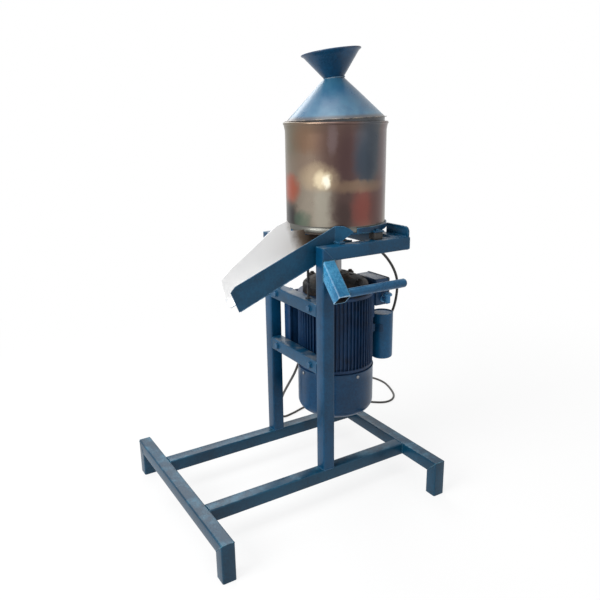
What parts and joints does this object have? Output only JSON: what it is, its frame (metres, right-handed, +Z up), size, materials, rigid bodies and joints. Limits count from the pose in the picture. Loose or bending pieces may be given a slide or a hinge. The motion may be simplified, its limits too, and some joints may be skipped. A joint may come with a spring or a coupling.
{
  "type": "nut butter grinder",
  "caption": "Vertical stone mill for nut butter: cone lid with feed funnel, stainless drum, sloping discharge chute and upright motor in a welded stand of square tube.",
  "frame": {"origin": "on the floor under the middle of the mill's full width and depth, cord left out", "axes": "+Z up; +X along the long base rails, from the chute's open end to the motor; +Y from the handle side to the far side"},
  "size_m": [1.1122, 0.9066, 1.2855],
  "materials": {
    "blue_paint": "brushed-on gloss paint, worn and dusty on upper sides",
    "light_blue_paint": "thin worn gloss paint",
    "motor_casting": "dark paint under dust",
    "can_paint": "satin paint",
    "stainless": "polished sheet",
    "bare_steel": "bare",
    "core_iron": "varnished",
    "grinding_stone": "rough",
    "black_rubber": "matt",
    "black_plastic": "satin"
  },
  "bodies": {
    "stand": {"base_tube_left": "blue_paint", "base_tube_right": "blue_paint", "foot_front_left": "blue_paint", "foot_back_left": "blue_paint", "foot_front_right": "blue_paint", "foot_back_right": "blue_paint", "base_rail_front": "blue_paint", "base_rail_back": "blue_paint", "post_front": "blue_paint", "post_back": "blue_paint", "top_rail_front": "blue_paint", "top_rail_back": "blue_paint", "top_end_tube": "blue_paint", "stop_strip": "blue_paint", "motor_rail_upper": "blue_paint", "motor_rail_lower": "blue_paint", "motor_bolt_lower_front": "blue_paint", "motor_bolt_lower_back": "blue_paint", "motor_bolt_upper_front": "blue_paint", "motor_bolt_upper_back": "blue_paint", "drum_seat": "blue_paint", "chute": "blue_paint", "fan_cowl": "blue_paint", "terminal_box": "blue_paint", "box_lid": "blue_paint", "capacitor_clamp": "blue_paint", "handle_arm": "light_blue_paint", "handle_bar": "light_blue_paint", "spare_entry": "light_blue_paint", "motor_body": "motor_casting", "end_shield_top": "motor_casting", "end_shield_bottom": "motor_casting", "capacitor": "can_paint", "drum_shell": "stainless", "feed_hopper": "stainless", "drum_floor": "bare_steel", "stone_holder": "bare_steel", "bearing_top": "bare_steel", "bearing_bottom": "bare_steel", "cowl_screw": "bare_steel", "chute_stay": "bare_steel", "stator": "core_iron", "bed_stone": "grinding_stone", "rubber_block_front_right": "black_rubber", "rubber_block_back_right": "black_rubber", "rubber_block_back_left": "black_rubber", "box_gasket": "black_rubber", "cord_clip": "black_plastic", "cable_gland": "black_plastic", "power_cord": "black_plastic", "cord_coil": "black_plastic", "cord_plug": "black_plastic", "coil_tie": "black_plastic"},
    "shaft": {"motor_shaft": "bare_steel", "rotor": "core_iron", "cooling_fan": "black_plastic", "runner_plate": "bare_steel", "runner_stone": "grinding_stone"},
    "lid": {"drum_lid": "light_blue_paint", "feed_funnel": "blue_paint"}
  },
  "joints": [
    {"name": "shaft_spin", "type": "hinge", "parent": "stand", "child": "shaft", "pos_m": [0.1786, 0, 0.5], "axis": [0, 0, 1], "continuous": true},
    {"name": "lid_lift", "type": "slide", "parent": "stand", "child": "lid", "axis": [0, 0, 1], "range_m": [0, 0.25]}
  ]
}
